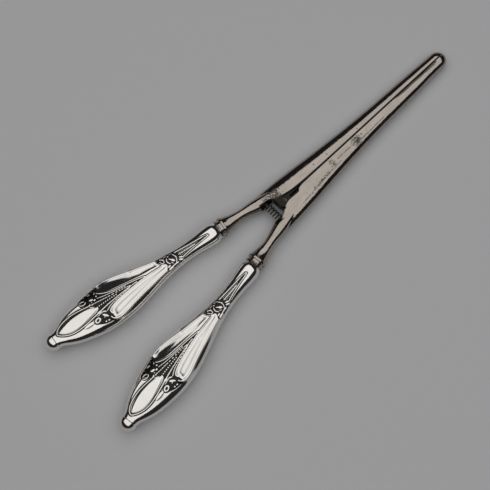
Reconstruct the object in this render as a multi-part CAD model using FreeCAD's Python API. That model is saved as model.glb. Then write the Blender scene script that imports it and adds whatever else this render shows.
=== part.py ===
import FreeCAD, Part

import math
import os

from FreeCAD import Placement, Rotation, Vector

# Glove stretcher lying on a table, in millimetres.
# +X runs along the tool towards the jaw tips, +Y to its left side and +Z up.
# The origin is below the middle of the tool, on the table.
# "u" is the distance along X from the point where the two handle lines are measured from.

# Overall size
TIP_U = 106.0
KNOB_P = 111.4
KNOB_RADIUS = 3.8
HANDLE_SPLAY_DEG = 8.37
HANDLE_OFFSET = 7.08
MID_Z = 5.5
END_U = -(KNOB_P * math.cos(math.radians(HANDLE_SPLAY_DEG)) + KNOB_RADIUS)
SHIFT_X = -(TIP_U + END_U) / 2

# Jaws: the closed pair is an oval bar, and each jaw is one half of it.
# Each station is (u, half width of the pair, half height).
JAW_STATIONS = [
    (-6.0, 10.35, 2.6),
    (-3.0, 10.2, 3.4),
    (2.0, 10.0, 3.75),
    (12.0, 9.3, 3.85),
    (24.0, 8.2, 3.8),
    (38.0, 7.0, 3.7),
    (54.0, 5.95, 3.6),
    (72.0, 5.25, 3.5),
    (88.0, 4.75, 3.45),
    (101.5, 4.25, 3.35),
]
JAW_HALF_GAP = 0.2
NOSE_LENGTH = 4.8
NOSE_STEPS = [0.0, 1.5, 2.9, 3.9, 4.5]

# Hinge: two ears of the left arm hold the pin, and the tongue of the right arm turns on it.
PIVOT_U = 3.0
KNUCKLE_RADIUS = 3.0
KNUCKLE_REACH = 4.5
KNUCKLE_FRONT = 8.5
TONGUE_HALF = 1.0
EAR_THICKNESS = 1.5
EAR_GAP = 0.12
KNUCKLE_CLEARANCE = 0.35
PIN_RADIUS = 1.1
PIN_RUNNING_GAP = 0.04
PIN_HEAD = 0.3

# Inner edges of the two arms at the hinge, as (u, distance from the middle line).
LEFT_INNER_EDGE = [(13.5, 0.0), (13.5, 0.2), (4.3, 2.1), (-7.0, 6.8), (-7.0, 0.0)]
RIGHT_INNER_EDGE = [(11.2, 0.0), (11.2, 0.2), (10.2, 1.65), (4.2, 1.55), (-7.0, 6.7), (-7.0, 0.0)]

# Neck of each arm: upright oval sections (p along the handle line, shift inwards, half width, half height)
NECK_STATIONS = [
    (-2.0, 0.9, 2.6, 2.9),
    (3.0, 0.9, 2.9, 3.1),
    (8.0, 0.85, 3.15, 3.2),
    (11.0, 0.6, 2.8, 3.15),
    (14.0, 0.4, 2.5, 3.0),
    (17.0, 0.2, 2.5, 2.9),
    (20.0, 0.15, 3.0, 3.15),
    (22.4, 0.05, 3.65, 3.7),
    (24.0, 0.0, 4.15, 4.2),
]
FLANGE = (24.0, 25.2, 4.4)
COLLAR = (25.2, 26.3, 3.6)
FERRULE = (26.3, 27.3, 4.0)
FERRULE_ROUND = 0.4
TANG_LENGTH = 52.0
TANG_ROOT = 2.2
TANG_TIP = 1.0

# Spring between the arms, behind the hinge
SPRING_U = -3.8
SPRING_SEAT = 5.6
SPRING_MEAN_RADIUS = 1.5
SPRING_WIRE_RADIUS = 0.3
SPRING_TURNS = 8.5
SEAT_RADIUS = 2.2
PEG_RADIUS = 0.9
PEG_SUNK = 1.6
PEG_PROUD = 2.0

# Handles: oval sections of the silver casing (p, half width, half thickness)
HANDLE_STATIONS = [
    (27.3, 3.6, 3.5),
    (29.3, 4.5, 4.3),
    (32.5, 4.6, 4.4),
    (38.0, 4.05, 3.95),
    (43.0, 3.85, 3.75),
    (48.0, 4.05, 3.85),
    (53.0, 4.6, 4.1),
    (58.0, 5.5, 4.45),
    (63.0, 6.65, 4.8),
    (68.0, 7.85, 5.1),
    (73.0, 8.95, 5.35),
    (83.0, 10.1, 5.5),
    (88.0, 10.0, 5.42),
    (93.0, 9.35, 5.2),
    (98.0, 8.35, 4.85),
    (103.0, 6.85, 4.35),
    (106.0, 5.5, 3.9),
    (108.3, 4.3, 3.55),
    (109.8, 3.75, 3.4),
    (110.8, 3.7, 3.5),
]
SHELL_THICKNESS = 0.5


def station_x(u):
    """X of a place given by its distance along the tool."""
    return u + SHIFT_X


def block(x0, x1, y0, y1, z0, z1):
    """A box between two corners, with z measured from the middle plane."""
    return Part.makeBox(x1 - x0, y1 - y0, z1 - z0, Vector(x0, y0, MID_Z + z0))


def half_oval(u, half_width, half_height):
    """The left half of an upright oval section, cut just off the middle line."""
    centre = Vector(station_x(u), 0, MID_Z)
    widest = centre + Vector(0, half_width, 0)
    highest = centre + Vector(0, 0, half_height)
    reach = math.acos(JAW_HALF_GAP / half_width)
    outside = Part.ArcOfEllipse(Part.Ellipse(widest, highest, centre), -reach, reach)
    inside = Part.LineSegment(outside.EndPoint, outside.StartPoint)
    return Part.Wire([outside.toShape(), inside.toShape()])


def jaw(side):
    """Tapering half-oval bar from the neck to the rounded tip."""
    bar = Part.makeLoft([half_oval(*station) for station in JAW_STATIONS], True, False)
    last_u, last_w, last_h = JAW_STATIONS[-1]
    nose_sections = []
    for step in NOSE_STEPS:
        share = math.sqrt(1 - (step / NOSE_LENGTH) ** 2)
        nose_sections.append(half_oval(last_u + step, last_w * share, last_h * share))
    nose = Part.makeLoft(nose_sections, True, False)
    whole = bar.fuse(nose)
    if side < 0:
        whole = whole.mirror(Vector(0, 0, 0), Vector(0, 1, 0))
    return whole


def upright_outline(points, side):
    """Prism through the whole height, from a plan outline given as (u, distance from the middle)."""
    corners = [Vector(station_x(u), side * v, MID_Z - 10) for u, v in points]
    wire = Part.makePolygon(corners + [corners[0]])
    return Part.Face(wire).extrude(Vector(0, 0, 20))


def upright_disc(radius, z0, z1):
    """Disc about the hinge axis, with z measured from the middle plane."""
    return Part.makeCylinder(radius, z1 - z0, Vector(station_x(PIVOT_U), 0, MID_Z + z0))


def knuckle(z0, z1, side):
    """Rounded lug about the hinge axis, with the web that joins it to the arm on the given side."""
    x = station_x(PIVOT_U)
    y0, y1 = sorted((0, side * KNUCKLE_REACH))
    web = block(x - KNUCKLE_RADIUS, x + KNUCKLE_RADIUS, y0, y1, z0, z1)
    y0, y1 = sorted((side * JAW_HALF_GAP, side * KNUCKLE_REACH))
    front = block(x, x + KNUCKLE_FRONT, y0, y1, z0, z1)
    return web.fuse([front, upright_disc(KNUCKLE_RADIUS, z0, z1)])


def handle_placement(side):
    """Places a piece drawn with +X along the handle, from the hinge to the knob."""
    turn = Rotation(Vector(0, 0, 1), 180 - side * HANDLE_SPLAY_DEG)
    return Placement(Vector(station_x(0), side * HANDLE_OFFSET, MID_Z), turn)


def neck_section(p, shift, half_width, half_height):
    """Upright oval across the handle line."""
    centre = Vector(p, shift, 0)
    highest = centre + Vector(0, 0, half_height)
    widest = centre + Vector(0, half_width, 0)
    return Part.Wire([Part.Ellipse(highest, widest, centre).toShape()])


def bar(span, radius):
    """Round bar along the handle line, given by its span (start, end)."""
    return Part.makeCylinder(radius, span[1] - span[0], Vector(span[0], 0, 0), Vector(1, 0, 0))


def neck(side):
    """Neck that flares into the flange, with the collar and the tang behind it."""
    sections = [neck_section(p, side * shift, w, h) for p, shift, w, h in NECK_STATIONS]
    flare = Part.makeLoft(sections, True, False)
    flange = bar(FLANGE[:2], FLANGE[2])
    flange = flange.makeFillet(0.3, [edge for edge in flange.Edges if edge.Closed])
    collar = bar((FLANGE[1] - 0.4, COLLAR[1]), COLLAR[2])
    tang = Part.makeCone(TANG_ROOT, TANG_TIP, TANG_LENGTH, Vector(COLLAR[1], 0, 0), Vector(1, 0, 0))
    piece = flare.fuse([flange, collar, tang])
    piece.Placement = handle_placement(side)
    return piece


def spring_seat(side):
    """Round recess in the arm's inner side for the end of the spring."""
    start = Vector(station_x(SPRING_U), side * SPRING_SEAT, MID_Z)
    return Part.makeCylinder(SEAT_RADIUS, 4.0, start, Vector(0, -side, 0))


def peg_shape(side, radius):
    """Peg that stands in the end of the spring, with its root sunk in the arm."""
    start = Vector(station_x(SPRING_U), side * (SPRING_SEAT + PEG_SUNK), MID_Z)
    return Part.makeCylinder(radius, PEG_SUNK + PEG_PROUD, start, Vector(0, -side, 0))


def arm(side, inner_edge):
    """Jaw, lug, neck, flange and tang forged in one, before the knuckle is added."""
    blank = jaw(side).cut(upright_outline(inner_edge, side))
    blank = blank.fuse(neck(side))
    return blank.cut([spring_seat(side), peg_shape(side, PEG_RADIUS)])


def left_arm():
    """Arm with the two ears that hold the hinge pin."""
    ear_low = TONGUE_HALF + EAR_GAP
    ear_high = ear_low + EAR_THICKNESS
    body = arm(1, LEFT_INNER_EDGE)
    body = body.cut(upright_disc(KNUCKLE_RADIUS + KNUCKLE_CLEARANCE, -ear_low, ear_low))
    ears = [knuckle(ear_low, ear_high, 1), knuckle(-ear_high, -ear_low, 1)]
    body = body.fuse(ears)
    return body.cut(upright_disc(PIN_RADIUS, -10, 10))


def right_arm():
    """Arm with the tongue that turns on the hinge pin."""
    ear_high = TONGUE_HALF + EAR_GAP + EAR_THICKNESS + EAR_GAP
    body = arm(-1, RIGHT_INNER_EDGE)
    body = body.cut(upright_disc(KNUCKLE_RADIUS + KNUCKLE_CLEARANCE, -ear_high, ear_high))
    body = body.fuse(knuckle(-TONGUE_HALF, TONGUE_HALF, -1))
    return body.cut(upright_disc(PIN_RADIUS + PIN_RUNNING_GAP, -10, 10))


def hinge_pin():
    """Pin with its ends hammered into low domes."""
    half_length = TONGUE_HALF + EAR_GAP + EAR_THICKNESS + PIN_HEAD
    pin = upright_disc(PIN_RADIUS, -half_length, half_length)
    return pin.makeFillet(PIN_HEAD * 0.9, [edge for edge in pin.Edges if edge.Closed])


def return_spring():
    """Coil spring that pushes the handles apart."""
    length = 2 * SPRING_SEAT - 2 * SPRING_WIRE_RADIUS
    helix = Part.makeHelix(length / SPRING_TURNS, length, SPRING_MEAN_RADIUS)
    start = Vector(SPRING_MEAN_RADIUS, 0, 0)
    circle = Part.makeCircle(SPRING_WIRE_RADIUS, start, Vector(0, 1, 0))
    coil = Part.Wire(helix.Edges).makePipeShell([Part.Wire([circle])], True, True)
    turn = Rotation(Vector(1, 0, 0), 90)
    coil.Placement = Placement(Vector(station_x(SPRING_U), length / 2, MID_Z), turn)
    return coil


def ferrule(side):
    """Bright ring between the steel collar and the handle."""
    ring = bar(FERRULE[:2], FERRULE[2])
    ring = ring.makeFillet(FERRULE_ROUND, [edge for edge in ring.Edges if edge.Closed])
    ring.Placement = handle_placement(side)
    return ring.cut(neck(side))


def oval_section(p, half_width, half_thickness):
    """Ellipse across the handle line."""
    ellipse = Part.Ellipse(Vector(0, half_width, 0), Vector(0, 0, half_thickness), Vector(0, 0, 0))
    ellipse.translate(Vector(p, 0, 0))
    return Part.Wire([ellipse.toShape()])


def casing_body(stations, inset):
    """Solid through the handle's oval sections, drawn in by the inset on every side."""
    sections = [oval_section(p, w - inset, t - inset) for p, w, t in stations]
    return Part.makeLoft(sections, True, False)


def handle_pieces(side):
    """Top shell, bottom shell and the filling that holds the tang."""
    knob = Part.makeSphere(KNOB_RADIUS, Vector(KNOB_P, 0, 0))
    outside = casing_body(HANDLE_STATIONS, 0).fuse(knob)
    inside = casing_body(HANDLE_STATIONS[:-1], SHELL_THICKNESS)
    silver = outside.cut(inside)
    upper = Part.makeBox(120, 40, 20, Vector(10, -20, 0))
    lower = Part.makeBox(120, 40, 20, Vector(10, -20, -20))
    pieces = [silver.common(upper), silver.common(lower), inside]
    for piece in pieces:
        piece.Placement = handle_placement(side)
    pieces[2] = pieces[2].cut(neck(side))
    return pieces


def export(name, shape):
    """Writes one piece, after checking that it is a single sound solid."""
    solids = shape.removeSplitter().Solids
    if len(solids) != 1 or not solids[0].isValid():
        print("check", name, "solids:", len(solids))
    solids[0].exportStep(f"parts/{name}.step")
    print(f"{name}: {solids[0].Volume:.1f} mm3")


os.makedirs("parts", exist_ok=True)
export("left_arm", left_arm())
export("right_arm", right_arm())
export("hinge_pin", hinge_pin())
export("return_spring", return_spring())
for side_name, side_sign in (("left", 1), ("right", -1)):
    export(f"{side_name}_spring_peg", peg_shape(side_sign, PEG_RADIUS))
    export(f"{side_name}_ferrule", ferrule(side_sign))
    top_shell, bottom_shell, filling = handle_pieces(side_sign)
    export(f"{side_name}_handle_top_shell", top_shell)
    export(f"{side_name}_handle_bottom_shell", bottom_shell)
    export(f"{side_name}_handle_filling", filling)
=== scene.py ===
"""A glove stretcher lying on a pale table, dressed over its fixed CAD frame."""

import math

import bmesh
import bpy
import numpy as np
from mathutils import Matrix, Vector


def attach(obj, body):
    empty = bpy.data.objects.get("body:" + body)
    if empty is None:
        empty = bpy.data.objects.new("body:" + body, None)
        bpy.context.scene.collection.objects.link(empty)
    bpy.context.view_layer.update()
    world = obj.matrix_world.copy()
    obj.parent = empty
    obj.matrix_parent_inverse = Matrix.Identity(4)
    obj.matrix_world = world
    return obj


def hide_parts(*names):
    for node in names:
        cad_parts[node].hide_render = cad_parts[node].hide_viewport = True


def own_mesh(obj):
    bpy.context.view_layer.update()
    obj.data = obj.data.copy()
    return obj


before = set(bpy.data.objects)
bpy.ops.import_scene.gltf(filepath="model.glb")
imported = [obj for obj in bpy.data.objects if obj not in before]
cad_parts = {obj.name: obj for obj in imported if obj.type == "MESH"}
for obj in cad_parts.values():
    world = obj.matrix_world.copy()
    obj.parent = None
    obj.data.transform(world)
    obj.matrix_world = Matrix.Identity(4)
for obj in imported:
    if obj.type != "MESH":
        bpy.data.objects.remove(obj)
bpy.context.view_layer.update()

MM = 0.001
LEFT = 1
RIGHT = -1

# Places on the jaws and necks are given as (u, v) in millimetres.
# u runs along the tool from START_X, and v is y.
START_X = 4.0067
REACH_V = 16

# The handles, in millimetres: p runs back along a handle, q across it, h up from its mid plane.
HANDLE_SPLAY = math.radians(8.37)
HANDLE_OFFSET = 7.08
MID_Z = 5.5
KNOB_P = 111.4
KNOB_RADIUS = 3.8
HANDLE_STATIONS = [
    # distance along the handle, half width, half thickness
    (27.3, 3.6, 3.5),
    (29.3, 4.5, 4.3),
    (32.5, 4.6, 4.4),
    (38.0, 4.05, 3.95),
    (43.0, 3.85, 3.75),
    (48.0, 4.05, 3.85),
    (53.0, 4.6, 4.1),
    (58.0, 5.5, 4.45),
    (63.0, 6.65, 4.8),
    (68.0, 7.85, 5.1),
    (73.0, 8.95, 5.35),
    (83.0, 10.1, 5.5),
    (88.0, 10.0, 5.42),
    (93.0, 9.35, 5.2),
    (98.0, 8.35, 4.85),
    (103.0, 6.85, 4.35),
    (106.0, 5.5, 3.9),
    (108.3, 4.3, 3.55),
    (109.8, 3.75, 3.4),
    (110.8, 3.7, 3.5),
]
SHELL_THICKNESS = 0.5
CROWN_SUNK = 0.22
HANDLE_ROWS = 480
KNOB_ROWS = 33
COLUMNS = 176
INNER_STRIDE = 8

# The coil spring between the arms, in metres.
SPRING_X = 0.0002067
SPRING_Z = 0.0055
SPRING_SEAT = 0.0056
SPRING_RADIUS = 0.0015
SPRING_WIRE = 0.0003
SPRING_TURNS = 8.5


# Shader node helpers


class Nodes:
    """Builds one material's node tree."""

    def __init__(self, name):
        self.material = bpy.data.materials.new(name)
        self.material.use_nodes = True
        self.tree = self.material.node_tree
        self.shader = self.tree.nodes["Principled BSDF"]
        self.place = self.add("ShaderNodeTexCoord").outputs["Object"]

    def add(self, kind, **settings):
        node = self.tree.nodes.new(kind)
        for key, value in settings.items():
            setattr(node, key, value)
        return node

    def link(self, source, target):
        self.tree.links.new(source, target)

    def feed(self, socket, value):
        """Links a socket, or sets it where the value is a constant."""
        if isinstance(value, bpy.types.NodeSocket):
            self.link(value, socket)
        else:
            socket.default_value = value

    def maths(self, operation, first, second=0.0, clamp=False):
        node = self.add("ShaderNodeMath", operation=operation, use_clamp=clamp)
        self.feed(node.inputs[0], first)
        self.feed(node.inputs[1], second)
        return node.outputs[0]

    def scaled(self, scale, offset=(0, 0, 0)):
        node = self.add("ShaderNodeMapping")
        self.link(self.place, node.inputs["Vector"])
        node.inputs["Scale"].default_value = scale
        node.inputs["Location"].default_value = offset
        return node.outputs["Vector"]

    def noise(self, scale, detail=4.0, vector=None, roughness=0.55):
        node = self.add("ShaderNodeTexNoise")
        self.link(vector or self.place, node.inputs["Vector"])
        node.inputs["Scale"].default_value = scale
        node.inputs["Detail"].default_value = detail
        node.inputs["Roughness"].default_value = roughness
        return node.outputs["Fac"]

    def cells(self, scale, vector=None):
        node = self.add("ShaderNodeTexVoronoi")
        self.link(vector or self.place, node.inputs["Vector"])
        node.inputs["Scale"].default_value = scale
        return node.outputs["Distance"]

    def span(self, value, low, high, to_low=0.0, to_high=1.0):
        node = self.add("ShaderNodeMapRange")
        self.feed(node.inputs["Value"], value)
        node.inputs["From Min"].default_value = low
        node.inputs["From Max"].default_value = high
        node.inputs["To Min"].default_value = to_low
        node.inputs["To Max"].default_value = to_high
        return node.outputs["Result"]

    def blend(self, factor, first, second):
        """A colour between two colours."""
        node = self.add("ShaderNodeMix", data_type="RGBA")
        self.feed(node.inputs["Factor"], factor)
        self.feed(node.inputs["A"], first if isinstance(first, bpy.types.NodeSocket) else (*first, 1))
        self.feed(node.inputs["B"], second if isinstance(second, bpy.types.NodeSocket) else (*second, 1))
        return node.outputs["Result"]

    def patch(self, centre, radii, turn=0.0):
        """1 at the middle of a soft-edged oval at (u, v), 0 outside, at any height."""
        moved = self.add("ShaderNodeMapping", vector_type="TEXTURE")
        self.link(self.place, moved.inputs["Vector"])
        moved.inputs["Location"].default_value = ((centre[0] + START_X) * MM, centre[1] * MM, 0)
        moved.inputs["Rotation"].default_value = (0, 0, math.radians(turn))
        moved.inputs["Scale"].default_value = (radii[0] * MM, radii[1] * MM, 1)
        length = self.add("ShaderNodeVectorMath", operation="LENGTH")
        self.link(moved.outputs["Vector"], length.inputs[0])
        return self.span(length.outputs["Value"], 1.0, 0.55)

    def edge(self, x, points):
        """The y of a smooth line through (u, v) points, at each x."""
        start, end = points[0][0], points[-1][0]
        node = self.add("ShaderNodeFloatCurve")
        self.link(self.span(x, (start + START_X) * MM, (end + START_X) * MM), node.inputs["Value"])
        curve = node.mapping.curves[0]
        for index, (u, v) in enumerate(points):
            place = ((u - start) / (end - start), (v + REACH_V) / (2 * REACH_V))
            if index in (0, len(points) - 1):
                curve.points[0 if index == 0 else -1].location = place
            else:
                curve.points.new(*place)
        node.mapping.update()
        return self.span(node.outputs["Value"], 0, 1, -REACH_V * MM, REACH_V * MM)

    def strip(self, low, high, soft=0.15):
        """1 between two lines that run along the tool, each through its (u, v) points."""
        split = self.add("ShaderNodeSeparateXYZ")
        self.link(self.place, split.inputs["Vector"])
        x, y = split.outputs["X"], split.outputs["Y"]
        above = self.span(self.maths("SUBTRACT", y, self.edge(x, low)), -soft * MM, soft * MM)
        below = self.span(self.maths("SUBTRACT", self.edge(x, high), y), -soft * MM, soft * MM)
        start, end = low[0][0] + START_X, low[-1][0] + START_X
        begun = self.span(x, (start - soft) * MM, (start + soft) * MM)
        ended = self.span(x, (end + soft) * MM, (end - soft) * MM)
        share = self.maths("MULTIPLY", above, below)
        return self.maths("MULTIPLY", share, self.maths("MULTIPLY", begun, ended))

    def most(self, values):
        """The largest of several values."""
        best = values[0]
        for value in values[1:]:
            best = self.maths("MAXIMUM", best, value)
        return best

    def bump(self, height, strength, distance):
        node = self.add("ShaderNodeBump")
        self.link(height, node.inputs["Height"])
        node.inputs["Strength"].default_value = strength
        node.inputs["Distance"].default_value = distance
        self.link(node.outputs["Normal"], self.shader.inputs["Normal"])


def metal(name):
    nodes = Nodes(name)
    nodes.shader.inputs["Metallic"].default_value = 1.0
    return nodes


def plated_steel():
    """Nickel plate, polished once, now rubbed, scratched along its length and pitted, with shade painted in
    the joint, along the parting line and on the eased edge.
    """
    nodes = metal("plated_steel_worn_and_shaded")
    stretched = nodes.scaled((0.16, 1.0, 1.0))
    streaks = nodes.noise(900.0, 5.0, stretched)
    clouds = nodes.noise(130.0, 4.0)
    fine = nodes.noise(2600.0, 3.0, stretched)
    ragged = nodes.noise(1300.0, 4.0)

    # The plate's own tone.
    tone = nodes.maths("ADD", nodes.maths("MULTIPLY", streaks, 0.5), nodes.maths("MULTIPLY", clouds, 0.5))
    plate = nodes.blend(nodes.span(tone, 0.36, 0.62), (0.39, 0.345, 0.30), (0.47, 0.42, 0.375))

    # Small pits, in groups.
    pit_core = nodes.span(nodes.cells(420.0), 0.18, 0.12)
    pit_area = nodes.most([
        nodes.span(nodes.noise(60.0, 2.0), 0.60, 0.68),
        nodes.patch((20, -4.6), (10, 1.6), 14),
        nodes.patch((14, -4.0), (8, 3.2), -10),
        nodes.patch((6, 4.6), (5, 2.0), -8),
    ])
    pit = nodes.maths("MULTIPLY", pit_core, pit_area, clamp=True)

    # Patches where the plate is rubbed or flaked off.
    left_root = nodes.strip(
        [(-4.4, 5.7), (-1.5, 5.0), (0, 3.8), (3.8, 2.4)],
        [(-4.4, 7.3), (3.8, 7.0)], 0.3,
    )
    flaked = nodes.most([
        left_root,
        nodes.patch((45.4, -2.4), (3.6, 2.7)),
        nodes.maths("MULTIPLY", nodes.patch((30.0, -2.8), (2.0, 2.6)), 0.8),
        nodes.maths("MULTIPLY", nodes.patch((95, -1.0), (5.0, 0.5), -2), 0.9),
        nodes.maths("MULTIPLY", nodes.patch((21.5, -4.9), (6.0, 0.8), 10), 0.95),
    ])
    bare = nodes.maths("MULTIPLY", flaked, nodes.span(ragged, 0.38, 0.55), clamp=True)

    # Grime and painted shade in the joint and along the parting line, and shade painted on the right jaw's
    # eased edge.
    joint_grime_and_shade = nodes.strip(
        [(-7, -6.0), (-3, -4.35), (0, -2.95), (3.5, -1.5), (7, -1.6), (10, -1.55), (11, -0.8),
         (13, -0.3), (16, -0.1)],
        [(-7, 6.0), (-4.4, 5.7), (-1.5, 5.0), (0, 3.8), (3, 2.6), (5, 2.1), (8, 1.5), (12, 1.2), (16, 1.0)],
    )
    # A dark line along the parting line: grime and painted shade of the gap between the jaws.
    parting_grime_and_shade = nodes.strip(
        [(15, -0.1), (40, 0.0), (72, 0.0), (103, -0.2)],
        [(15, 1.0), (30, 0.75), (72, 0.65), (103, 0.5)],
    )
    # Painted shade on the right jaw's eased edge beside the parting line.
    eased_edge_shade = nodes.strip([(71, 0.0), (75, -0.75), (85, -1.0), (100, -0.95)], [(71, 0.3), (100, 0.3)], 0.25)
    # Lines rubbed beside the right jaw's edge.
    rubbed = nodes.most([
        nodes.strip([(8, -6.8), (20, -5.6), (34, -4.5)], [(8, -6.4), (20, -5.0), (34, -4.0)]),
        nodes.strip([(33, -2.8), (43, -2.9)], [(33, -2.4), (43, -2.4)]),
        nodes.strip([(48, -3.6), (63, -3.1)], [(48, -3.0), (63, -2.7)]),
    ])
    lines = nodes.most([
        joint_grime_and_shade,
        parting_grime_and_shade,
        nodes.maths("MULTIPLY", eased_edge_shade, nodes.span(streaks, 0.35, 0.6, 0.98, 0.8)),
        nodes.maths("MULTIPLY", rubbed, nodes.span(ragged, 0.40, 0.54, 0.1, 0.75)),
    ])
    # The lines, grime and painted shade among them, go in with the flaked patches and pits.
    dirt_and_painted_shade = nodes.most([lines, nodes.maths("MULTIPLY", bare, 0.85), nodes.maths("MULTIPLY", pit, 0.85)])

    coloured = nodes.blend(dirt_and_painted_shade, plate, (0.03, 0.027, 0.024))
    nodes.link(coloured, nodes.shader.inputs["Base Color"])
    gloss = nodes.maths("ADD", nodes.span(tone, 0.3, 0.7, 0.06, 0.14), nodes.maths("MULTIPLY", dirt_and_painted_shade, 0.3))
    nodes.link(gloss, nodes.shader.inputs["Roughness"])
    relief = nodes.maths("SUBTRACT", nodes.maths("MULTIPLY", fine, 0.25), nodes.most([pit, bare]))
    nodes.bump(relief, 0.25, 0.00006)
    return nodes.material


def dark_steel():
    """Bare steel gone brown-black, with brighter rubbed spots."""
    nodes = metal("dark_steel_tarnished")
    blotches = nodes.noise(900.0, 5.0)
    grains = nodes.noise(5200.0, 3.0)
    colour = nodes.blend(nodes.span(blotches, 0.40, 0.72), (0.03, 0.026, 0.023), (0.13, 0.115, 0.1))
    nodes.link(colour, nodes.shader.inputs["Base Color"])
    nodes.link(nodes.span(blotches, 0.3, 0.7, 0.42, 0.22), nodes.shader.inputs["Roughness"])
    nodes.bump(grains, 0.35, 0.00005)
    return nodes.material


def silver():
    """Polished silver with black oxide kept in the low parts of the ornament."""
    nodes = metal("silver_polished")
    oxide = nodes.add("ShaderNodeAttribute", attribute_name="oxide").outputs["Fac"]
    clouds = nodes.noise(160.0, 4.0)
    fine = nodes.noise(1900.0, 3.0)
    bright = nodes.blend(nodes.span(clouds, 0.35, 0.7), (0.90, 0.875, 0.84), (0.82, 0.79, 0.745))
    mottled = nodes.maths("MULTIPLY", oxide, nodes.span(fine, 0.25, 0.6, 0.85, 1.0))
    kept = nodes.span(mottled, 0.1, 0.62)
    colour = nodes.blend(kept, bright, (0.03, 0.028, 0.026))
    nodes.link(colour, nodes.shader.inputs["Base Color"])
    rough = nodes.maths("ADD", nodes.span(clouds, 0.3, 0.7, 0.05, 0.10), nodes.maths("MULTIPLY", kept, 0.3))
    nodes.link(rough, nodes.shader.inputs["Roughness"])
    nodes.bump(fine, 0.10, 0.00004)
    return nodes.material


def tarnished_silver():
    """Silver that has gone dark, with a few rubbed streaks, on the ferrules."""
    nodes = metal("silver_tarnished")
    clouds = nodes.noise(420.0, 4.0, nodes.scaled((1.0, 0.5, 1.0)))
    fine = nodes.noise(2400.0, 3.0)
    colour = nodes.blend(nodes.span(clouds, 0.42, 0.62), (0.06, 0.055, 0.05), (0.62, 0.59, 0.55))
    nodes.link(colour, nodes.shader.inputs["Base Color"])
    nodes.link(nodes.span(clouds, 0.3, 0.7, 0.28, 0.12), nodes.shader.inputs["Roughness"])
    nodes.bump(fine, 0.2, 0.00004)
    return nodes.material


def pitch():
    """The dull set pitch inside the handles."""
    nodes = Nodes("pitch_set")
    lumps = nodes.noise(400.0, 5.0)
    colour = nodes.blend(lumps, (0.05, 0.033, 0.02), (0.12, 0.08, 0.05))
    nodes.link(colour, nodes.shader.inputs["Base Color"])
    nodes.link(nodes.span(lumps, 0.2, 0.8, 0.65, 0.9), nodes.shader.inputs["Roughness"])
    nodes.bump(lumps, 0.3, 0.0002)
    return nodes.material


# Meshes


def mesh_object(name, points, faces, material):
    """A smooth-shaded object with sharp edges kept sharp."""
    mesh = bpy.data.meshes.new(name)
    mesh.from_pydata([tuple(p) for p in points], [], faces)
    mesh.validate()
    work = bmesh.new()
    work.from_mesh(mesh)
    bmesh.ops.recalc_face_normals(work, faces=work.faces)
    work.to_mesh(mesh)
    work.free()
    mesh.shade_smooth()
    mesh.set_sharp_from_angle(angle=math.radians(50))
    mesh.materials.append(material)
    made = bpy.data.objects.new(name, mesh)
    bpy.context.scene.collection.objects.link(made)
    return made


def dress(node, material):
    """Gives a CAD node its finished material."""
    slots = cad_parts[node].material_slots
    for slot in slots:
        slot.material = material


def curve_through(points, steps=8, closed=False):
    """Points of a smooth curve through the given ones."""
    fixed = [np.array(p, float) for p in points]
    if closed:
        fixed = [fixed[-1]] + fixed + fixed[:2]
    else:
        fixed = [2 * fixed[0] - fixed[1]] + fixed + [2 * fixed[-1] - fixed[-2]]
    out = []
    for a, b, c, d in zip(fixed, fixed[1:], fixed[2:], fixed[3:]):
        for step in range(steps):
            t = step / steps
            out.append(
                0.5 * (
                    2 * b + (c - a) * t + (2 * a - 5 * b + 4 * c - d) * t * t
                    + (3 * b - a - 3 * c + d) * t**3
                )
            )
    out.append(fixed[-2])
    return np.array(out)


def distance_to(line, p, q):
    """Distance of every grid point from a line of points."""
    best = np.full(p.shape, 1e9)
    for (ap, aq), (bp, bq) in zip(line[:-1], line[1:]):
        dp, dq = bp - ap, bq - aq
        t = np.clip(((p - ap) * dp + (q - aq) * dq) / max(dp * dp + dq * dq, 1e-12), 0, 1)
        best = np.minimum(best, np.hypot(p - ap - t * dp, q - aq - t * dq))
    return best


def inside(line, p, q):
    """True where a grid point lies inside a closed line."""
    within = np.zeros(p.shape, bool)
    for (ap, aq), (bp, bq) in zip(line, np.roll(line, -1, axis=0)):
        crosses = (aq > q) != (bq > q)
        with np.errstate(divide="ignore", invalid="ignore"):
            edge = (bp - ap) * (q - aq) / (bq - aq) + ap
        within ^= crosses & (p < edge)
    return within


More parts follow.
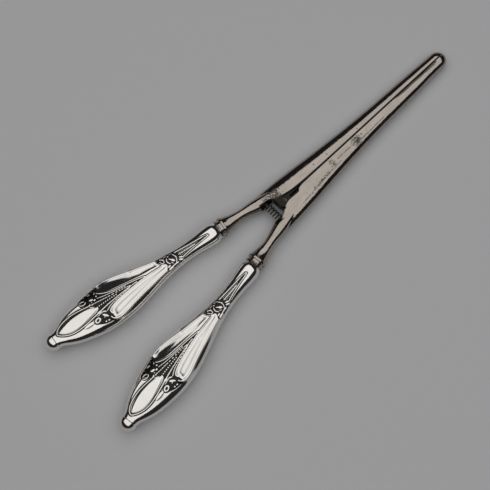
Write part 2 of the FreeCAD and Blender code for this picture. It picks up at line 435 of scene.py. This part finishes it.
class Relief:
    """The stamped ornament as a height over the handle's plain surface, in millimetres."""

    def __init__(self, p, q):
        self.p = p
        self.q = q
        self.ground = np.zeros(p.shape)
        self.raised = np.zeros(p.shape)
        self.sunk = np.zeros(p.shape)

    def near(self, points, reach):
        """The part of the grid that a feature can touch."""
        low = np.min(points, axis=0) - reach
        high = np.max(points, axis=0) + reach
        return (self.p > low[0]) & (self.p < high[0]) & (self.q > low[1]) & (self.q < high[1])

    def ridge(self, points, height=0.18, width=0.24, closed=False, flank=0.8):
        """A fine raised line; flank is how much oxide lies beside it."""
        line = curve_through(points, closed=closed)
        area = self.near(line, 4 * width)
        far = distance_to(line, self.p[area], self.q[area])
        self.raised[area] = np.maximum(self.raised[area], height * np.exp(-((far / width) ** 2)))
        self.sunk[area] = np.maximum(self.sunk[area], flank * np.exp(-((far / (2.3 * width)) ** 4)))

    def leaf(self, start, end, width, height=0.15):
        """A plump drop between two points."""
        (ap, aq), (bp, bq) = start, end
        length = math.hypot(bp - ap, bq - aq) / 2
        along = ((bp - ap) / 2 / length, (bq - aq) / 2 / length)
        dp = self.p - (ap + bp) / 2
        dq = self.q - (aq + bq) / 2
        s = (dp * along[0] + dq * along[1]) / length
        t = (dq * along[0] - dp * along[1]) / width
        dome = height * np.sqrt(np.clip(1 - s * s - t * t, 0, 1))
        self.raised = np.maximum(self.raised, dome)

    def dot(self, centre, radius, height=0.14):
        self.leaf((centre[0] - radius, centre[1]), (centre[0] + radius, centre[1]), radius, height)

    def ring(self, centre, radii, turn=0.0, height=0.2, width=0.26):
        angles = [math.radians(a) for a in range(0, 360, 45)]
        lean = math.radians(turn)
        points = []
        for a in angles:
            across, up = radii[0] * math.cos(a), radii[1] * math.sin(a)
            points.append(
                (
                    centre[0] + across * math.cos(lean) - up * math.sin(lean),
                    centre[1] + across * math.sin(lean) + up * math.cos(lean),
                )
            )
        self.ridge(points, height, width, closed=True)

    def shade(self, outline, amount=0.8, edge=0.3):
        """Ground that keeps its oxide without being lower."""
        line = curve_through(outline, closed=True)
        area = self.near(line, 0.1)
        p, q = self.p[area], self.q[area]
        deep = np.where(inside(line, p, q), distance_to(line, p, q), 0)
        share = amount * (1 - np.exp(-((deep / edge) ** 2)))
        self.sunk[area] = np.maximum(self.sunk[area], share)

    def shoulder(self, points, height, width):
        """A broad swelling under a ridge."""
        line = curve_through(points)
        area = self.near(line, 4 * width)
        far = distance_to(line, self.p[area], self.q[area])
        self.ground[area] += height * np.exp(-((far / width) ** 2))

    def field(self, outline, height, edge):
        """A swelling that rises from its outline."""
        line = curve_through(outline, closed=True)
        area = self.near(line, 0.1)
        p, q = self.p[area], self.q[area]
        deep = np.where(inside(line, p, q), distance_to(line, p, q), 0)
        self.ground[area] += height * (1 - np.exp(-deep / edge))

    def scoop(self, outline, depth, edge):
        """A smooth hollow."""
        line = curve_through(outline, closed=True)
        area = self.near(line, 0.1)
        p, q = self.p[area], self.q[area]
        deep = np.where(inside(line, p, q), distance_to(line, p, q), 0)
        self.ground[area] -= depth * (1 - np.exp(-((deep / edge) ** 2)))

    def sink(self, outline, depth, edge=0.3):
        """Ground stamped lower, where the oxide stays."""
        line = curve_through(outline, closed=True)
        area = self.near(line, 0.1)
        p, q = self.p[area], self.q[area]
        deep = np.where(inside(line, p, q), distance_to(line, p, q), 0)
        share = 1 - np.exp(-((deep / edge) ** 2))
        self.ground[area] -= depth * share
        self.sunk[area] = np.maximum(self.sunk[area], share)


# Outlines of the ornament, as (p, q) in millimetres.
PANEL_RIDGE = [
    (69, -0.05), (74, 0.2), (78, 0.5), (82, 0.9), (86, 1.4), (90, 2.1), (93, 2.55), (96, 3.0),
    (100, 3.25), (103, 2.9), (105, 2.25), (107, 1.15), (108.3, 0), (108.65, -0.65), (108.3, -1.65),
    (107, -2.7), (105, -3.5), (102, -4.0), (99, -4.1), (96, -3.75), (93, -3.2), (91.3, -2.9),
]
PANEL_FIELD = [
    (88.5, 0.1), (91.5, 1.0), (94, 1.5), (98, 2.2), (102, 2.1), (105, 1.3), (107, 0.0), (107.6, -0.8),
    (106.6, -1.9), (104, -2.8), (100, -3.3), (96, -3.0), (92.5, -2.3), (89.5, -0.9),
]
UPPER_OUTER_RIDGE = [
    (55.6, 3.0), (60, 3.8), (65, 4.75), (70, 5.65), (75, 6.7), (80, 7.85), (83, 8.1), (84.6, 7.7),
    (85.6, 7.0), (85.9, 6.2),
]
UPPER_INNER_RIDGE = [
    (57, 0.25), (65, 0.3), (70, 0.75), (75, 1.35), (80, 2.1), (83, 2.9), (84.6, 3.7), (85.0, 4.6), (84.7, 5.4),
]
UPPER_PETAL = [
    (54.6, 1.2), (57, 0.6), (65, 0.7), (70, 1.2), (75, 1.8), (80, 2.6), (83, 3.5), (84.2, 5.0), (84.0, 7.0),
    (81.5, 7.5), (75, 6.2), (70, 5.15), (65, 4.25), (60, 3.4), (56, 2.5),
]
LOWER_OUTER_RIDGE = [
    (58, -3.1), (61, -3.9), (65, -4.9), (70, -6.0), (75, -7.5), (79, -8.5), (82, -8.95), (84.3, -8.7),
]
LOWER_INNER_RIDGE = [
    (65, -0.1), (68, -0.75), (72, -1.45), (76, -2.1), (80, -2.9), (83, -4.0), (84.8, -5.1), (85.8, -6.1),
]
LOWER_PETAL = [
    (57.7, -0.5), (62, -0.6), (66, -0.8), (70, -1.5), (75, -2.4), (80, -3.4), (83, -4.5), (85.0, -6.4),
    (84.4, -8.1), (80, -8.2), (75, -7.0), (70, -5.5), (65, -4.4), (60, -3.2), (58, -2.6),
]
CENTRE_GROUND = [
    (64.6, 0.1), (66, 0.35), (70, 0.75), (75, 1.35), (80, 2.1), (83, 2.9), (85, 4.0), (88, 2.3), (91, 1.9),
    (88.6, 0.0), (91.3, -2.8), (88, -4.2), (86, -6.2), (84.8, -5.1), (83, -4.0), (80, -2.9), (76, -2.1),
    (72, -1.45), (68, -0.75), (65.4, -0.15),
]
CENTRE_TROUGH = [
    (66, -0.1), (70, -0.1), (74, 0.1), (78, 0.35), (84, 0.9), (90.5, 1.7), (88.6, 0.0), (91.3, -2.6),
    (86, -1.9), (80, -1.35), (74, -0.65), (70, -0.3),
]


def stems(relief):
    """The pairs of stems that run from the flower up between the petals."""
    fine = {"height": 0.15, "width": 0.17}
    relief.ridge([(73, 0.45), (75, 0.75), (79, 1.3), (83, 2.0), (86, 3.2)], **fine)
    relief.ridge([(72, -0.15), (75, -0.65), (78, -1.1), (82, -1.55), (86, -2.1), (89.3, -2.6)], **fine)
    relief.ridge([(74, -1.2), (77, -1.65), (80, -2.2), (84, -3.0), (86.6, -3.8)], **fine)
    relief.ridge([(78, -0.35), (84, -0.4), (90, -0.45)], 0.05, 0.3, flank=0)
    for bead in range(10):
        relief.dot((79.2 + 1.05 * bead, -0.38), 0.36, 0.1)


def lower_stem_panel(relief):
    """The long V of two ridges and the hatched rib between them, next to the ferrule."""
    relief.sink(
        [(32.3, 0.55), (36, 1.3), (40, 1.75), (46, 2.5), (49, 2.3), (49.2, -1.9), (44, -1.75),
         (37, -1.05)], 0.1
    )
    relief.ridge([(32.6, 0.55), (36, 0.8), (40, 1.1), (43, 1.42), (45, 1.68), (46.6, 1.95)])
    relief.ridge([(32.9, 0.0), (36, -0.52), (40, -0.97), (44, -1.35), (48.6, -1.75)])
    relief.ridge([(39.5, 0.3), (44, 0.08), (47.6, -0.05)], 0.13, 0.24)
    for tick in range(15):
        along = 38.2 + 0.62 * tick
        spread = 0.35 + 0.1 * (along - 38)
        relief.ridge([(along, spread), (along + 0.12, 0), (along, -spread)], 0.085, 0.13, flank=0)


def lower_flower(relief):
    """The flower and its leaves where the handle starts to widen."""
    relief.sink(
        [(48.4, 2.2), (50, 2.9), (52.5, 3.3), (55.4, 3.4), (54.6, 1.2), (55.6, 0.3), (57.2, -0.9),
         (57.9, -2.9), (54, -3.0), (49.5, -2.7), (48.6, -0.5)], 0.12
    )
    relief.leaf((46.7, 3.05), (48.9, 1.85), 0.42)
    relief.leaf((46.2, 2.4), (48.3, 1.0), 0.42)
    relief.ridge([(50.3, 2.5), (49.5, 1.4), (49.2, 0.2), (49.5, -0.9), (50.1, -2.2)], 0.15, 0.24)
    relief.ridge([(49.6, 2.65), (51, 2.75), (52.4, 2.95)], 0.14, 0.32)
    relief.leaf((50.4, 1.6), (51.7, 0.0), 0.55)
    relief.leaf((51.3, 0.5), (52.4, -0.9), 0.3, 0.12)
    relief.leaf((51.3, 2.3), (52.6, 0.9), 0.34, 0.08)
    relief.ridge([(52.9, 1.5), (53.5, 0.5), (53.5, -0.5), (53.0, -1.5)], 0.15, 0.22)
    relief.leaf((51.9, 3.15), (54.9, 3.4), 0.6)
    relief.leaf((53.0, 2.15), (54.8, 2.45), 0.48)
    relief.ring((55.4, -1.5), (0.75, 1.2), 20, 0.15, 0.2)
    relief.leaf((54.1, -1.6), (55.8, -2.9), 0.45)
    relief.ridge([(56.6, -0.5), (57.2, -1.6), (57.45, -2.7)], 0.13, 0.2)
    relief.dot((52.1, -2.1), 0.5)
    relief.ridge([(50.1, -2.2), (52, -2.55), (54, -2.6)], 0.1, 0.25)


def petals(relief):
    """The two long petals: scooped hollows between a fine inner line and a raised outer rim."""
    relief.scoop(UPPER_PETAL, 0.26, 0.9)
    relief.scoop(LOWER_PETAL, 0.2, 1.0)
    relief.shoulder(UPPER_OUTER_RIDGE, 0.18, 0.75)
    relief.shoulder(LOWER_OUTER_RIDGE, 0.18, 0.75)
    relief.shoulder([(70, -6.3), (75, -7.8), (79, -8.8), (82, -9.2), (84.3, -9.0)], 0.22, 1.0)
    relief.ridge(UPPER_OUTER_RIDGE, 0.17, 0.28, flank=0)
    relief.ridge(UPPER_INNER_RIDGE, 0.17, 0.21, flank=0)
    relief.ridge(LOWER_OUTER_RIDGE, 0.17, 0.28, flank=0)
    relief.ridge(LOWER_INNER_RIDGE, 0.17, 0.2)
    relief.shade(CENTRE_GROUND, 0.9, 0.2)
    relief.sink(CENTRE_TROUGH, 0.1, 0.25)


def buds(relief):
    """The small buds, rings and leaves round the root of the long panel."""
    relief.sink([(84.6, 7.5), (89, 7.6), (93.4, 5.2), (92.8, 3.4), (88, 2.6), (85.6, 2.6)], 0.08)
    relief.sink([(85.4, -3.4), (91.4, -3.4), (94.8, -4.9), (94.2, -7.2), (89, -8.4), (85.4, -8.2)], 0.08)
    relief.leaf((86.6, 5.5), (88.6, 3.3), 0.5)
    relief.leaf((86.2, 3.35), (87.7, 2.5), 0.3, 0.12)
    relief.leaf((88.0, 1.95), (90.1, 1.95), 0.55)
    relief.ring((91.5, 4.5), (1.1, 0.75), 12, 0.2, 0.34)
    relief.leaf((92.9, 4.1), (98.0, 3.95), 0.7)
    relief.dot((87.5, 6.85), 0.45)
    relief.dot((88.8, 6.65), 0.45)
    relief.dot((88.3, 4.8), 0.32, 0.1)
    relief.dot((87.9, -3.85), 0.55)
    relief.dot((89.8, -2.6), 0.38)
    relief.dot((90.8, -3.05), 0.5)
    relief.leaf((86.5, -4.4), (86.5, -5.8), 0.34)
    relief.leaf((88.3, -4.3), (90.1, -5.6), 0.75)
    relief.dot((89.5, -3.6), 0.34, 0.1)
    relief.ring((93.0, -5.65), (1.3, 0.85), -12, 0.18, 0.26)
    relief.leaf((92.2, -4.8), (94.9, -6.2), 0.28, 0.12)
    relief.leaf((85.9, -7.2), (87.1, -6.1), 0.36, 0.12)
    relief.leaf((88.1, -7.2), (90.3, -8.0), 0.45)
    relief.dot((87.1, -7.8), 0.36, 0.1)
    relief.dot((91.3, -7.5), 0.4, 0.1)


def plain_sides(relief):
    """A low swelling of the plain ground beside the long panel."""
    relief.shoulder([(95, -6.0), (98, -5.9), (101, -5.5), (104, -4.7)], 0.26, 0.9)


def panel(relief):
    """The long rounded panel that ends at the knob."""
    relief.field(PANEL_FIELD, 0.2, 0.5)
    relief.ridge(PANEL_RIDGE, 0.18, 0.22)


def profile(p):
    """Half width and half thickness of a handle at each p, smooth through the stations."""
    table = np.array(HANDLE_STATIONS)
    out = []
    for column in (1, 2):
        x, y = table[:, 0], table[:, column]
        step = np.diff(x)
        slope = np.diff(y) / step
        inner = (slope[:-1] * step[1:] + slope[1:] * step[:-1]) / (step[:-1] + step[1:])
        tangent = np.concatenate([[slope[0]], inner, [slope[-1]]])
        i = np.clip(np.searchsorted(x, p, side="right") - 1, 0, len(x) - 2)
        t = (p - x[i]) / step[i]
        out.append(
            (2 * t**3 - 3 * t**2 + 1) * y[i]
            + (t**3 - 2 * t**2 + t) * step[i] * tangent[i]
            + (3 * t**2 - 2 * t**3) * y[i + 1]
            + (t**3 - t**2) * step[i] * tangent[i + 1]
        )
    return out


def handle_rows():
    """p, half width and half thickness of each row of the handle's surface."""
    start, end = HANDLE_STATIONS[0][0], HANDLE_STATIONS[-1][0]
    p = np.linspace(start, end, HANDLE_ROWS + 1)
    wide, thick = profile(p)
    first = math.acos((end - KNOB_P) / KNOB_RADIUS)
    turn = np.linspace(first, 0, KNOB_ROWS + 1)[1:-1]
    p = np.concatenate([p, KNOB_P + KNOB_RADIUS * np.cos(turn)])
    wide = np.concatenate([wide, KNOB_RADIUS * np.sin(turn)])
    thick = np.concatenate([thick, KNOB_RADIUS * np.sin(turn)])
    return p, wide, thick


def softened(values, reach):
    """Values averaged over neighbours in the grid."""
    out = values.copy()
    for axis in (0, 1):
        total = np.zeros(out.shape)
        for shift in range(-reach, reach + 1):
            total += np.roll(out, shift, axis=axis)
        out = total / (2 * reach + 1)
    return out


def handle_surface():
    """The ornamented surface as arrays of p, q, h in millimetres, and its oxide from 0 to 1."""
    p, wide, thick = handle_rows()
    ornate = np.clip((p - 30.5) / 3, 0, 1) * np.clip((109.5 - p) / 3, 0, 1)
    low = thick - CROWN_SUNK * ornate
    turn = np.linspace(0, math.pi, COLUMNS + 1)
    p = np.repeat(p[:, None], COLUMNS + 1, axis=1)
    q = wide[:, None] * np.cos(turn)
    h = low[:, None] * np.sin(turn)
    relief = Relief(p, q)
    lower_stem_panel(relief)
    lower_flower(relief)
    petals(relief)
    stems(relief)
    buds(relief)
    panel(relief)
    plain_sides(relief)
    height = relief.ground + relief.raised
    recess = np.clip((softened(height, 4) - height) / 0.04, 0, 1)
    height = np.maximum(height, 0.05 - (SHELL_THICKNESS - CROWN_SUNK))
    bare = np.clip(1.5 - relief.raised / 0.06, 0, 1)
    oxide = np.clip((0.6 * recess + relief.sunk) * bare, 0, 1)
    nq = np.cos(turn) / wide[:, None]
    nh = np.sin(turn) / low[:, None]
    size = np.hypot(nq, nh)
    return p, q + height * nq / size, h + height * nh / size, oxide


def inner_surface():
    """The plain inside of a shell, on a coarser grid."""
    p, wide, thick = handle_rows()
    rows = np.arange(0, len(p), INNER_STRIDE)
    turn = np.linspace(0, math.pi, COLUMNS // INNER_STRIDE + 1)
    p = np.repeat(p[rows][:, None], len(turn), axis=1)
    q = (wide[rows] - SHELL_THICKNESS)[:, None] * np.cos(turn)
    h = (thick[rows] - SHELL_THICKNESS)[:, None] * np.sin(turn)
    return p, q, h


def in_frame(p, q, h, side, up):
    """Handle coordinates in millimetres to the shared frame in metres."""
    c, s = math.cos(HANDLE_SPLAY), math.sin(HANDLE_SPLAY)
    x = START_X - p * c - q * side * s
    y = side * HANDLE_OFFSET + p * side * s - q * c
    z = MID_Z + up * h
    return np.stack([x, y, z], axis=-1) * MM


def grid_faces(index):
    """Four-sided faces over a grid of point numbers."""
    faces = []
    for above, below in zip(index[:-1], index[1:]):
        faces += list(zip(above[:-1], above[1:], below[1:], below[:-1]))
    return faces


def stitch(fine, coarse):
    """Faces between a fine edge and a coarse one that runs beside it."""
    stride = (len(fine) - 1) // (len(coarse) - 1)
    middle = stride // 2
    faces = []
    for i, (a, b) in enumerate(zip(coarse[:-1], coarse[1:])):
        run = fine[i * stride:(i + 1) * stride + 1]
        for j in range(stride):
            faces.append((run[j], run[j + 1], a if j < middle else b))
        faces.append((run[middle], b, a))
    return faces


def shell(name, side, up, surface, stride, material):
    """One stamped half of a handle: its ornamented face, its plain inside and the rim between."""
    p, q, h, oxide = (part[::stride, ::stride] for part in surface)
    inner_p, inner_q, inner_h = inner_surface()
    tip_p = np.array([KNOB_P + KNOB_RADIUS, KNOB_P + KNOB_RADIUS - SHELL_THICKNESS])
    outer_points = in_frame(p, q, h, side, up).reshape(-1, 3)
    inner_points = in_frame(inner_p, inner_q, inner_h, side, up).reshape(-1, 3)
    tips = in_frame(tip_p, np.zeros(2), np.zeros(2), side, up)
    points = np.concatenate([outer_points, inner_points, tips])
    outer = np.arange(p.size).reshape(p.shape)
    inner = p.size + np.arange(inner_p.size).reshape(inner_p.shape)
    tip, inner_tip = len(points) - 2, len(points) - 1
    faces = grid_faces(outer) + grid_faces(inner)
    faces += stitch(outer[0], inner[0])
    for edge in (0, -1):
        faces += stitch(outer[:, edge], inner[:, edge])
        faces.append((outer[-1, edge], tip, inner_tip, inner[-1, edge]))
    for ring, end in ((outer[-1], tip), (inner[-1], inner_tip)):
        faces += [(a, b, end) for a, b in zip(ring[:-1], ring[1:])]
    made = mesh_object(name, points, [tuple(int(i) for i in face) for face in faces], material)
    marks = made.data.attributes.new("oxide", "FLOAT", "POINT")
    values = np.zeros(len(points), np.float32)
    values[: p.size] = oxide.ravel()
    marks.data.foreach_set("value", values)
    return made


def coil(material):
    """The return spring: a round wire wound across the tool, with its end turns lying flat."""
    turns_of = np.linspace(0, SPRING_TURNS, int(SPRING_TURNS * 40) + 1)
    flat = 0.75
    lay = np.clip((turns_of - flat) / (SPRING_TURNS - 2 * flat), 0, 1)
    flat_rise = 0.9 * SPRING_WIRE * np.minimum(turns_of, flat) / flat
    flat_rise += 0.9 * SPRING_WIRE * np.clip(turns_of - SPRING_TURNS + flat, 0, flat) / flat
    reach = 2 * (SPRING_SEAT - SPRING_WIRE) - 1.8 * SPRING_WIRE
    y = -SPRING_SEAT + SPRING_WIRE + lay * reach + flat_rise
    angle = 2 * math.pi * turns_of
    across = SPRING_X + SPRING_RADIUS * np.cos(angle)
    high = SPRING_Z + SPRING_RADIUS * np.sin(angle)
    centre = np.stack([across, y, high], axis=-1)
    outward = np.stack([np.cos(angle), np.zeros(len(angle)), np.sin(angle)], axis=-1)
    along = np.gradient(centre, axis=0)
    along /= np.linalg.norm(along, axis=1)[:, None]
    beside = np.cross(along, outward)
    around = np.linspace(0, 2 * math.pi, 13)[:-1]
    rings = [
        centre + SPRING_WIRE * (math.cos(a) * outward + math.sin(a) * beside) for a in around
    ]
    points = np.stack(rings, axis=1).reshape(-1, 3)
    index = np.arange(len(points)).reshape(len(centre), len(around))
    looped = np.concatenate([index, index[:, :1]], axis=1)
    faces = grid_faces(looped) + [tuple(index[0]), tuple(index[-1])]
    faces = [tuple(int(i) for i in face) for face in faces]
    return mesh_object("return_spring_wire", points, faces, material)


# Table, light and camera


LOOKS_AT = Vector((-0.01802, -0.0009, 0.00037))
CAMERA_PLACE = Vector((-0.10404, -0.08953, 0.4018))
LENS = 70.38
SENSOR = 36.0
LAMP_PLACE = (-0.02, 0.0, 1.0)
LAMP_AIM = (-0.02, 0.0, 0.0)
LAMP_SIZE = 2.12
LAMP_POWER = 12.3
TABLE_SLOPE = 0.01168
TABLE_TOUCH_X = -0.083


def table_material():
    """Plain pale grey paper with a faint grain."""
    nodes = Nodes("table_paper")
    grain = nodes.noise(1500.0, 3.0)
    speckled = nodes.blend(nodes.span(grain, 0.3, 0.7, 0.0, 0.04), (0.60, 0.60, 0.606), (0.3, 0.3, 0.3))
    nodes.link(speckled, nodes.shader.inputs["Base Color"])
    nodes.shader.inputs["Roughness"].default_value = 0.85
    nodes.shader.inputs["Specular IOR Level"].default_value = 0.1
    nodes.bump(grain, 0.05, 0.0001)
    return nodes.material


def table():
    """A flat table, which the handles' bellies and the jaws' ends all touch."""
    reach = 1.6
    points = [
        (x, y, (x - TABLE_TOUCH_X) * TABLE_SLOPE)
        for x, y in ((-reach, -reach), (reach, -reach), (reach, reach), (-reach, reach))
    ]
    made = mesh_object("table", points, [(0, 1, 2, 3)], table_material())


def lamp(name, place, aim, size, power):
    light = bpy.data.lights.new(name, "AREA")
    light.shape = "SQUARE"
    light.size = size
    light.energy = power
    made = bpy.data.objects.new(name, light)
    made.location = place
    made.rotation_euler = (Vector(aim) - Vector(place)).to_track_quat("-Z", "Y").to_euler()
    bpy.context.scene.collection.objects.link(made)


def dark_room():
    """The room beyond the lamps is nearly black."""
    world = bpy.data.worlds.new("dark_room")
    world.use_nodes = True
    world.node_tree.nodes["Background"].inputs["Color"].default_value = (0.018, 0.018, 0.02, 1)
    bpy.context.scene.world = world


def light_and_camera():
    scene = bpy.context.scene
    lamp("softbox", LAMP_PLACE, LAMP_AIM, LAMP_SIZE, LAMP_POWER)
    dark_room()
    camera = bpy.data.objects.new("camera", bpy.data.cameras.new("camera"))
    camera.data.sensor_width = SENSOR
    camera.data.lens = LENS
    camera.location = CAMERA_PLACE
    camera.rotation_euler = (LOOKS_AT - CAMERA_PLACE).to_track_quat("-Z", "Y").to_euler()
    scene.collection.objects.link(camera)
    scene.camera = camera
    scene.view_settings.view_transform = "Standard"


def build():
    steel = plated_steel()
    dark = dark_steel()
    bright = silver()
    tarnished = tarnished_silver()
    filling = pitch()
    for side in ("left", "right"):
        dress(side + "_arm", steel)
        dress(side + "_spring_peg", dark)
        dress(side + "_ferrule", tarnished)
        dress(side + "_handle_filling", filling)
    dress("hinge_pin", dark)

    surface = handle_surface()
    for word, side in (("left", LEFT), ("right", RIGHT)):
        for half, up, stride in (("top", 1, 1), ("bottom", -1, 2)):
            node = f"{word}_handle_{half}_shell"
            made = shell(node + "_stamped", side, up, surface, stride, bright)
            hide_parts(node)
            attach(made, word + "_side")

    spring = coil(dark)
    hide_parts("return_spring")
    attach(spring, "left_side")
    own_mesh(spring)
    table()
    light_and_camera()


build()
